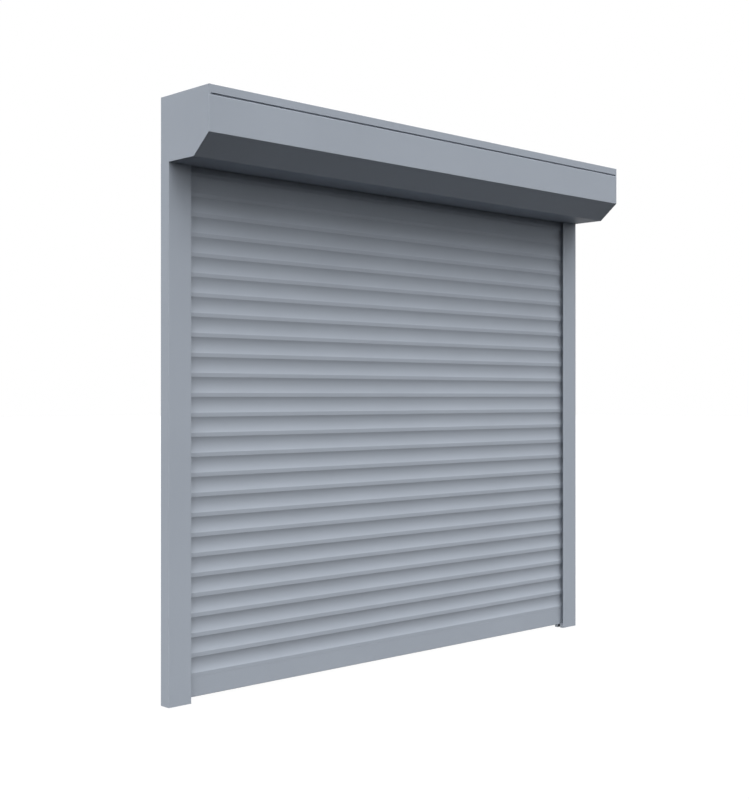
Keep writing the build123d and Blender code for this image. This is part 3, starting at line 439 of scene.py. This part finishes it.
def brush_fibre(name, colour):
    """Polypropylene pile: dense black fibres with a weak silky sheen."""
    material, tree, shader = new_material(name)
    place = node(tree, "TexCoord").outputs["Object"]
    # single fibres are 0.1 mm thick, drawn at 0.4 mm so that they show
    drawn = node(tree, "Mapping", inputs={"Vector": place, "Scale": stretch(1, 6, 0.4)})
    fibres = node(tree, "TexNoise", inputs={"Vector": drawn.outputs["Vector"], "Scale": 1.0, "Detail": 1.0})
    tint = node(tree, "MapRange", inputs={"Value": fibres.outputs["Fac"], "To Min": 0.4, "To Max": 1.8})
    mixed = node(tree, "VectorMath", {"operation": "SCALE"}, {0: colour, "Scale": tint.outputs["Result"]})
    relief = node(
        tree, "Bump", inputs={"Height": fibres.outputs["Fac"], "Distance": 0.2 * MM, "Strength": 0.8}
    )
    surface = {
        "Base Color": mixed.outputs["Vector"],
        "Normal": relief.outputs["Normal"],
        "Roughness": 0.7,
        "Sheen Weight": 0.3,
    }
    feed(tree, shader, surface)
    return material


def lacquered_tube(name, colour):
    """Stoved white-grey lacquer on a welded steel tube: smooth, half gloss, with a wavy reflection."""
    material, tree, shader = new_material(name)
    place = node(tree, "TexCoord").outputs["Object"]
    # waves of the lacquer about 9 mm apart, and a film of dust in patches of about 120 mm
    waves = node(tree, "TexNoise", inputs={"Vector": place, "Scale": 1 / (9 * MM), "Detail": 1.0})
    dust = node(tree, "TexNoise", inputs={"Vector": place, "Scale": 1 / (120 * MM), "Detail": 5.0})
    tint = node(tree, "MapRange", inputs={"Value": dust.outputs["Fac"], "To Min": 0.92, "To Max": 1.02})
    mixed = node(tree, "VectorMath", {"operation": "SCALE"}, {0: colour, "Scale": tint.outputs["Result"]})
    relief = node(
        tree, "Bump", inputs={"Height": waves.outputs["Fac"], "Distance": 0.05 * MM, "Strength": 0.4}
    )
    surface = {
        "Base Color": mixed.outputs["Vector"],
        "Normal": relief.outputs["Normal"],
        "Roughness": 0.3,
    }
    feed(tree, shader, surface)
    return material


def finish(material, *owners):
    """Give pieces, or nodes of the frame that are named, their material."""
    for owner in owners:
        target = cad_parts[owner] if isinstance(owner, str) else owner
        if not target.material_slots:
            target.data.materials.append(material)
        for slot in target.material_slots:
            slot.material = material


# Modelling


def deselect():
    """Leave edit mode and deselect every object."""
    if bpy.context.object and bpy.context.object.mode != "OBJECT":
        bpy.ops.object.mode_set(mode="OBJECT")
    bpy.ops.object.select_all(action="DESELECT")


def select_only(piece):
    """Select one object and make it the active one."""
    deselect()
    piece.select_set(True)
    bpy.context.view_layer.objects.active = piece


def apply_placing():
    """Apply the place, turn and scale of the selected object to its mesh."""
    bpy.ops.object.transform_apply(location=True, rotation=True, scale=True)


def pick(piece, test, kind="EDGE"):
    """In edit mode, select the edges, faces or vertices whose every corner passes the test."""
    bpy.ops.mesh.select_mode(type=kind)
    bpy.ops.mesh.select_all(action="DESELECT")
    bpy.ops.object.mode_set(mode="OBJECT")
    mesh = piece.data
    items = {"EDGE": mesh.edges, "FACE": mesh.polygons, "VERT": mesh.vertices}[kind]
    for item in items:
        corners = [item.co] if kind == "VERT" else [mesh.vertices[i].co for i in item.vertices]
        item.select = all(test(*corner) for corner in corners)
    bpy.ops.object.mode_set(mode="EDIT")


def lies_on(value, plane):
    """Tell whether a coordinate lies on a plane, to a hundredth of a millimetre."""
    return abs(value - plane) < 0.01 * MM


def traced_profile(name, start_x, end_x, outline):
    """Draw a closed outline of (y, z) points by pulling one edge round it, and close both ends.

    The edge runs from start_x to end_x, so each pull leaves one long face behind.
    """
    deselect()
    bpy.ops.mesh.primitive_plane_add(size=1, location=(0, 0, 0))
    piece = bpy.context.object
    piece.name = name
    piece.data.name = name
    bpy.ops.object.mode_set(mode="EDIT")
    # the plane's front edge, half a metre before the origin, is kept and becomes the first edge
    pick(piece, lambda x, y, z: y > 0, "VERT")
    bpy.ops.mesh.delete(type="VERT")
    bpy.ops.mesh.select_mode(type="EDGE")
    bpy.ops.mesh.select_all(action="SELECT")
    bpy.ops.transform.resize(value=(end_x - start_x, 1, 1), center_override=(0, 0, 0))
    last = outline[0]
    bpy.ops.transform.translate(value=((start_x + end_x) / 2, last[0] + 0.5, last[1]))
    for point in outline[1:] + outline[:1]:
        bpy.ops.mesh.extrude_edges_move(
            TRANSFORM_OT_translate={"value": (0, point[0] - last[0], point[1] - last[1])}
        )
        last = point
    bpy.ops.mesh.select_all(action="SELECT")
    bpy.ops.mesh.remove_doubles(threshold=0.02 * MM)
    bpy.ops.mesh.fill_holes(sides=0)
    bpy.ops.mesh.select_all(action="SELECT")
    bpy.ops.mesh.normals_make_consistent(inside=False)
    return piece


def rounded(piece, test, radius, steps=3):
    """In edit mode, round the edges that pass the test."""
    pick(piece, test)
    bpy.ops.mesh.bevel(offset=radius, segments=steps, affect="EDGES")


def closed_up(piece, body, material, angle=30):
    """Finish a modelled piece: smooth rounds beside flat faces, material, body and slot."""
    select_only(piece)
    apply_placing()
    bpy.ops.object.shade_smooth_by_angle(angle=radians(angle))
    # large faces keep their own normals, so that a flat face stays evenly lit up to its rounds
    bpy.ops.object.modifier_add(type="WEIGHTED_NORMAL")
    piece.modifiers[-1].keep_sharp = True
    bpy.ops.object.modifier_apply(modifier=piece.modifiers[-1].name)
    finish(material, piece)
    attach(piece, body)


def copied(piece, name, offset):
    """Return a copy with its own mesh, moved by an offset that is applied to the mesh."""
    select_only(piece)
    bpy.ops.object.duplicate(linked=False)
    twin = bpy.context.object
    twin.name = name
    twin.data.name = name
    bpy.ops.transform.translate(value=offset)
    apply_placing()
    return twin


def mirrored(piece, name):
    """Return a copy mirrored to the other side of the middle, with its faces turned outwards."""
    twin = copied(piece, name, (0, 0, 0))
    bpy.ops.object.mode_set(mode="EDIT")
    bpy.ops.mesh.select_all(action="SELECT")
    bpy.ops.transform.resize(value=(-1, 1, 1), center_override=(0, 0, 0))
    bpy.ops.mesh.flip_normals()
    bpy.ops.object.mode_set(mode="OBJECT")
    return twin


def hollow_face(foot, head, depth, steps):
    """Return (y, z) points of the hollow between two heights, with y counted from the front."""
    half = (head - foot) / 2
    radius = (half * half + depth * depth) / (2 * depth)
    spread = asin(half / radius)
    points = []
    for step in range(steps + 1):
        turn = spread * (2 * step / steps - 1)
        points.append((depth - radius + radius * cos(turn), foot + half + radius * sin(turn)))
    return points


def crossing(middle, side, half):
    """Return (y, z) points that cross a middle line, from the front (side -1) or from the rear (1).

    The first half is given, each point as its distance from the middle and its height.
    """
    first = [(middle + side * away, z) for away, z in half]
    second = [(middle - side * away, z) for away, z in reversed(half)]
    return first + second


def hook(middle, shoulder, top):
    """Return the outline of a hook from its front foot over its head to its rear foot."""
    head = shoulder + HOOK_NECK_HEIGHT
    return crossing(
        middle, -1, [(HOOK_NECK, shoulder), (HOOK_NECK, head), (HOOK_HEAD, head), (HOOK_HEAD, top)]
    )


class SHUTTER_OT_slats(bpy.types.Operator):
    """Model one slat with its strip, hollow face, hook and socket, and copy it up the curtain."""

    bl_idname = "shutter.slats"
    bl_label = "Slats"

    def execute(self, context):
        sizes = context.scene.shutter_sizes
        front, rear, base = SLAT_LOW.y, SLAT_HIGH.y, SLAT_LOW.z
        shoulder = base + SLAT_PITCH - sizes.joint_gap
        middle = front + JOINT_BEHIND_FRONT
        hollow = hollow_face(base + sizes.strip_height, shoulder, sizes.belly_depth, sizes.belly_steps)
        outline = [(front, base)] + [(front + y, z) for y, z in hollow]
        outline += hook(middle, shoulder, SLAT_HIGH.z)
        # rear side with the sloping shoulder that lets the curtain bend
        outline += [(rear - REAR_SLOPE, shoulder), (rear, shoulder - REAR_SLOPE), (rear, base)]
        # socket for the hook of the slat or bar below
        lip = base + SOCKET_LIP_HEIGHT
        roof = lip + SOCKET_POCKET_HEIGHT
        outline += crossing(
            middle,
            1,
            [(SOCKET_MOUTH, base), (SOCKET_MOUTH, lip), (SOCKET_POCKET, lip), (SOCKET_POCKET, roof)],
        )
        slat = traced_profile("coated_slat_01", SLAT_LOW.x, SLAT_HIGH.x, outline)
        for height in (base, shoulder):
            rounded(slat, lambda x, y, z: lies_on(y, front) and lies_on(z, height), sizes.lip_round, 8)
        coat = powder_coat("powder_coat_slats", context.scene.shutter_colours.coat, 0, 3.0)
        pieces = [slat]
        for number, name in enumerate(SLATS[1:], start=1):
            pieces.append(copied(slat, "coated_" + name, (0, 0, number * SLAT_PITCH)))
        for name, piece in zip(SLATS, pieces):
            closed_up(piece, "curtain", coat, 12)
            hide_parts(name)
        return {"FINISHED"}


class SHUTTER_OT_bottom_bar(bpy.types.Operator):
    """Model the bottom bar with its hook and seal groove, and the rubber seal under it."""

    bl_idname = "shutter.bottom_bar"
    bl_label = "Bottom bar"

    def execute(self, context):
        sizes = context.scene.shutter_sizes
        colours = context.scene.shutter_colours
        low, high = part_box("bottom_bar")
        front, rear, base = low.y, high.y, low.z
        shoulder = SLAT_LOW.z - sizes.joint_gap
        centre = (front + rear) / 2
        outline = [(front, base), (front, shoulder)]
        outline += hook(front + JOINT_BEHIND_FRONT, shoulder, high.z)
        outline += [(rear, shoulder), (rear, base)]
        # groove for the seal
        lip, roof = base + GROOVE_LIP_HEIGHT, base + GROOVE_ROOF_HEIGHT
        outline += crossing(
            centre,
            1,
            [(GROOVE_MOUTH, base), (GROOVE_MOUTH, lip), (GROOVE_POCKET, lip), (GROOVE_POCKET, roof)],
        )
        bar = traced_profile("coated_bottom_bar", low.x, high.x, outline)
        rounded(
            bar,
            lambda x, y, z: (lies_on(y, front) or lies_on(y, rear)) and lies_on(z, base),
            sizes.bar_round,
        )
        closed_up(bar, "curtain", powder_coat("powder_coat_bar", colours.coat, 0, 3.0))
        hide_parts("bottom_bar")

        seal_low, seal_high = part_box("bottom_seal")
        wiper = (seal_high.y - seal_low.y) / 2
        outline = crossing(centre, -1, [(SEAL_HEAD, lip), (SEAL_HEAD, seal_high.z)])
        outline += crossing(
            centre, 1, [(SEAL_NECK, lip), (SEAL_NECK, base), (wiper, base), (wiper, seal_low.z)]
        )
        seal = traced_profile("rubber_seal", seal_low.x, seal_high.x, outline)
        rounded(seal, lambda x, y, z: lies_on(z, seal_low.z), SEAL_ROUND)
        closed_up(seal, "curtain", extruded_rubber("epdm_seal", colours.rubber))
        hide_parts("bottom_seal")
        return {"FINISHED"}


class SHUTTER_OT_straps(bpy.types.Operator):
    """Model the spring-steel straps between the winding shaft and the top slat."""

    bl_idname = "shutter.straps"
    bl_label = "Hanger straps"

    def execute(self, context):
        sizes = context.scene.shutter_sizes
        thickness = sizes.strap_thickness
        low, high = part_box("hanger_straps")
        shaft_low, shaft_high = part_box("shaft_tube")
        shaft_y, shaft_z = (shaft_low.y + shaft_high.y) / 2, (shaft_low.z + shaft_high.z) / 2
        # one side of the strap: round the shaft, straight down towards the wall, a bend, then upright
        wrap = high.z - shaft_z - thickness
        inner = []
        for step in range(STRAP_WRAP_STEPS + 1):
            turn = radians(STRAP_START - (STRAP_START - STRAP_LEAVE) * step / STRAP_WRAP_STEPS)
            inner.append((shaft_y + wrap * cos(turn), shaft_z + wrap * sin(turn)))
        run_y = high.y - thickness
        leave_y, leave_z = inner[-1]
        lean = radians(STRAP_LEAVE)
        corner_z = leave_z - (run_y - leave_y) / tan(lean)
        bend_low_z = corner_z - STRAP_BEND * tan(lean / 2)
        for step in range(STRAP_BEND_STEPS + 1):
            turn = radians(STRAP_LEAVE - STRAP_LEAVE * step / STRAP_BEND_STEPS)
            inner.append((run_y - STRAP_BEND + STRAP_BEND * cos(turn), bend_low_z + STRAP_BEND * sin(turn)))
        inner.append((run_y, low.z))
        # the other side, one thickness away at right angles to the line between the two neighbours
        outer = []
        for place, (y, z) in enumerate(inner):
            before = inner[max(0, place - 1)]
            after = inner[min(len(inner) - 1, place + 1)]
            ahead_y, ahead_z = after[0] - before[0], after[1] - before[1]
            run = hypot(ahead_y, ahead_z)
            outer.append((y - ahead_z / run * thickness, z + ahead_y / run * thickness))
        strap = traced_profile("spring_strap_1", low.x, low.x + sizes.strap_width, inner + outer[::-1])
        steel = ground_steel("blued_spring_steel", context.scene.shutter_colours.spring, 0.32, 2)
        spacing = (high.x - low.x - sizes.strap_width) / 2
        straps = [strap] + [copied(strap, f"spring_strap_{n + 1}", (n * spacing, 0, 0)) for n in (1, 2)]
        for piece in straps:
            closed_up(piece, "frame", steel, 40)
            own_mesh(piece)
        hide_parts("hanger_straps")
        return {"FINISHED"}


class SHUTTER_OT_brush_seals(bpy.types.Operator):
    """Model the tufted brush seals in the slots of both guide rails."""

    bl_idname = "shutter.brush_seals"
    bl_label = "Brush seals"

    def execute(self, context):
        pitch = context.scene.shutter_sizes.tuft_pitch
        low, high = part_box("left_brush_seals")
        middle_x = (low.x + high.x) / 2
        length = high.z - low.z
        pile = brush_fibre("polypropylene_pile", context.scene.shutter_colours.pile)
        strips = []
        for side, name, edge in ((1, "front", low.y), (-1, "rear", high.y)):
            deselect()
            centre = (middle_x, edge + side * TUFT_LENGTH / 2, low.z + pitch / 2)
            bpy.ops.mesh.primitive_cube_add(size=1, location=centre)
            tufts = bpy.context.object
            bpy.ops.object.mode_set(mode="EDIT")
            bpy.ops.transform.resize(value=(TUFT_WIDTH, TUFT_LENGTH, pitch * TUFT_SHARE_OF_PITCH))
            # a tuft spreads towards its tip and is narrower at its root
            pick(tufts, lambda x, y, z: y * side < 0, "VERT")
            bpy.ops.transform.resize(value=ROOT_NARROWING)
            bpy.ops.object.mode_set(mode="OBJECT")
            row = tufts.modifiers.new("row", "ARRAY")
            row.use_relative_offset = False
            row.use_constant_offset = True
            row.constant_offset_displace = (0, 0, pitch)
            row.count = int(length / pitch)
            bpy.ops.object.modifier_apply(modifier="row")
            deselect()
            backing = (middle_x, edge + side * BACKING_MIDDLE, (low.z + high.z) / 2)
            bpy.ops.mesh.primitive_cube_add(size=1, location=backing)
            strip = bpy.context.object
            bpy.ops.object.mode_set(mode="EDIT")
            bpy.ops.transform.resize(value=(high.x - low.x, BACKING_THICKNESS, length))
            bpy.ops.mesh.bevel(offset=BACKING_ROUND, segments=2, affect="EDGES")
            select_only(tufts)
            strip.select_set(True)
            bpy.ops.object.join()
            tufts.name = "left_pile_" + name
            tufts.data.name = tufts.name
            apply_placing()
            strips.append(tufts)
        for strip in strips:
            twin = mirrored(strip, strip.name.replace("left", "right"))
            for piece, seals in ((strip, "left_brush_seals"), (twin, "right_brush_seals")):
                closed_up(piece, "frame", pile)
                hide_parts(seals)
        return {"FINISHED"}


class SHUTTER_OT_coated_housing(bpy.types.Operator):
    """Coat the end caps, the sheets of the box and the guide rails, with their screws and rivets."""

    bl_idname = "shutter.coated_housing"
    bl_label = "Coated housing"

    def execute(self, context):
        colour = context.scene.shutter_colours.coat
        caps = powder_coat("powder_coat_caps", colour, 1, 6.0)
        sheets = powder_coat("powder_coat_sheets", colour, 0, 8.0)
        rails = powder_coat("powder_coat_rails", colour, 2, 3.0)
        finish(caps, "left_end_cap", "right_end_cap", "cover_screws", "panel_rivets")
        finish(sheets, "back_panel", "top_panel", "front_cover")
        finish(rails, "left_guide_rail", "right_guide_rail", "left_rail_cover", "right_rail_cover")
        return {"FINISHED"}


class SHUTTER_OT_drive(bpy.types.Operator):
    """Finish the winding shaft, the motor, the bearing, their brackets and the hooks."""

    bl_idname = "shutter.drive"
    bl_label = "Drive"

    def execute(self, context):
        colours = context.scene.shutter_colours
        galvanised = bright_steel("galvanised_strip", colours.galvanised, 0.42, 12.0)
        lacquer = lacquered_tube("stoved_lacquer", colours.lacquer)
        polyamide = moulded_plastic("glass_filled_polyamide", colours.polyamide, 0.5)
        zinc = bright_steel("zinc_plated_steel", colours.zinc, 0.34, 3.0)
        ground = ground_steel("ground_bearing_steel", colours.zinc, 0.2, 0)
        aluminium = ground_steel("mill_finish_aluminium", colours.zinc, 0.38, 0)
        finish(galvanised, "shaft_tube")
        finish(lacquer, "motor_tube")
        finish(polyamide, "motor_head", "crown_adapter", "drive_wheel", "idler_capsule")
        finish(zinc, "motor_bracket", "bearing_holder", "bracket_screws")
        finish(ground, "motor_spindle", "bearing_outer_ring", "bearing_inner_ring", "bearing_balls")
        finish(aluminium, "hanger_hooks")
        return {"FINISHED"}


class SHUTTER_OT_plastics(bpy.types.Operator):
    """Finish the inlet guides and end locks, the rail feet in the coat's grey, and the rubber grommet."""

    bl_idname = "shutter.plastics"
    bl_label = "Plastics"

    def execute(self, context):
        colours = context.scene.shutter_colours
        finish(moulded_plastic("moulded_acetal", colours.guide, 0.45), "inlet_guides", "slat_end_locks")
        finish(moulded_plastic("moulded_nylon_feet", colours.foot, 0.5), "rail_feet")
        finish(extruded_rubber("moulded_rubber", colours.rubber), "cable_grommet")
        return {"FINISHED"}


class SHUTTER_OT_stage(bpy.types.Operator):
    """Lay a pale floor, set the soft light and place the camera at the photograph's angle."""

    bl_idname = "shutter.stage"
    bl_label = "Stage"

    def execute(self, context):
        scene = context.scene
        scene.view_settings.view_transform = "Standard"
        deselect()
        bpy.ops.mesh.primitive_plane_add(size=FLOOR_SIZE, location=(0, 0, -FLOOR_BELOW_FEET))
        floor = context.object
        floor.name = "stage_floor"
        floor.data.name = "stage_floor"
        apply_placing()
        finish(self.floor_paint(), floor)
        scene.world = self.sky()
        for name, (tilt, turn, spread, strength) in LAMPS.items():
            bpy.ops.object.light_add(type="SUN", rotation=(radians(tilt), 0, radians(turn)))
            lamp = context.object
            lamp.name = name
            lamp.data.angle = radians(spread)
            lamp.data.energy = strength
        bpy.ops.object.camera_add(location=CAMERA_PLACE, rotation=(radians(90), 0, radians(CAMERA_TURN)))
        camera = context.object
        camera.name = "photo_camera"
        camera.data.sensor_width = SENSOR_MM
        camera.data.lens = FOCAL_LENGTH * SENSOR_MM / PHOTO_HEIGHT
        camera.data.shift_y = PICTURE_SHIFT / PHOTO_HEIGHT
        camera.data.clip_end = 200
        scene.camera = camera
        return {"FINISHED"}

    def seen_directly(self, tree):
        """Return 1 for the rays that show the background itself: camera, reflection and glass."""
        ray = node(tree, "LightPath").outputs
        highest = {"operation": "MAXIMUM"}
        pair = node(tree, "Math", highest, {0: ray["Is Camera Ray"], 1: ray["Is Glossy Ray"]})
        either = node(tree, "Math", highest, {0: pair.outputs["Value"], 1: ray["Is Transmission Ray"]})
        return either.outputs["Value"]

    def floor_paint(self):
        """Pale floor paint: white to the camera and in reflections, with the object's shadow kept.

        Light that falls on the floor meets a dark grey, so that little of it is thrown up.
        """
        material, tree, shader = new_material("pale_floor_paint")
        seen = self.seen_directly(tree)
        colour = node(
            tree,
            "Mix",
            {"data_type": "RGBA"},
            {0: seen, 6: shade(linear("#121315")), 7: shade(linear("#4e4e4e"))},
        )
        glow = node(tree, "Math", {"operation": "MULTIPLY"}, {0: seen, 1: FLOOR_GLOW})
        surface = {
            "Base Color": colour.outputs[2],
            "Roughness": 0.9,
            "Specular IOR Level": 0.1,
            "Emission Color": (1, 1, 1, 1),
            "Emission Strength": glow.outputs["Value"],
        }
        feed(tree, shader, surface)
        return material

    def sky(self):
        """White behind the object for the camera and for reflections, and a banded dome as light."""
        world = bpy.data.worlds.new("overcast_studio")
        world.use_nodes = True
        tree = world.node_tree
        tree.nodes.clear()
        place = node(tree, "TexCoord")
        split = node(tree, "SeparateXYZ", inputs={"Vector": place.outputs["Generated"]})
        dome = node(tree, "ValToRGB", inputs={"Fac": split.outputs["Z"]})
        ramp = dome.color_ramp
        for height, _ in SKY_STOPS[1:-1]:
            ramp.elements.new(height)
        for element, (height, value) in zip(ramp.elements, SKY_STOPS):
            element.position = height
            element.color = (value, value, value, 1)
        light = node(tree, "Background", inputs={"Color": dome.outputs["Color"], "Strength": SKY_STRENGTH})
        white = node(tree, "Background", inputs={"Color": (1, 1, 1, 1), "Strength": 1.0})
        chosen = node(
            tree,
            "MixShader",
            inputs={
                0: self.seen_directly(tree),
                1: light.outputs["Background"],
                2: white.outputs["Background"],
            },
        )
        node(tree, "OutputWorld", inputs={"Surface": chosen.outputs["Shader"]})
        return world


class SHUTTER_PT_panel(bpy.types.Panel):
    """Lists the sizes, the colours and the steps."""

    bl_idname = "SHUTTER_PT_panel"
    bl_label = "Shutter"
    bl_space_type = "VIEW_3D"
    bl_region_type = "UI"
    bl_category = "Shutter"

    def draw(self, context):
        column = self.layout.column()
        for group in (context.scene.shutter_sizes, context.scene.shutter_colours):
            for key in group.__annotations__:
                column.prop(group, key)
        for step in STEPS:
            column.operator(step.bl_idname)


STEPS = (
    SHUTTER_OT_slats,
    SHUTTER_OT_bottom_bar,
    SHUTTER_OT_straps,
    SHUTTER_OT_brush_seals,
    SHUTTER_OT_coated_housing,
    SHUTTER_OT_drive,
    SHUTTER_OT_plastics,
    SHUTTER_OT_stage,
)
CLASSES = (ShutterSizes, ShutterColours) + STEPS + (SHUTTER_PT_panel,)


def register():
    """Register the classes and hang the property groups on the scene."""
    for item in CLASSES:
        bpy.utils.register_class(item)
    bpy.types.Scene.shutter_sizes = bpy.props.PointerProperty(type=ShutterSizes)
    bpy.types.Scene.shutter_colours = bpy.props.PointerProperty(type=ShutterColours)


def unregister():
    """Take the property groups off the scene and unregister the classes."""
    del bpy.types.Scene.shutter_colours
    del bpy.types.Scene.shutter_sizes
    for item in reversed(CLASSES):
        bpy.utils.unregister_class(item)


def main():
    """Run every step in order."""
    register()
    bpy.ops.shutter.slats()
    bpy.ops.shutter.bottom_bar()
    bpy.ops.shutter.straps()
    bpy.ops.shutter.brush_seals()
    bpy.ops.shutter.coated_housing()
    bpy.ops.shutter.drive()
    bpy.ops.shutter.plastics()
    bpy.ops.shutter.stage()


if __name__ == "__main__":
    main()
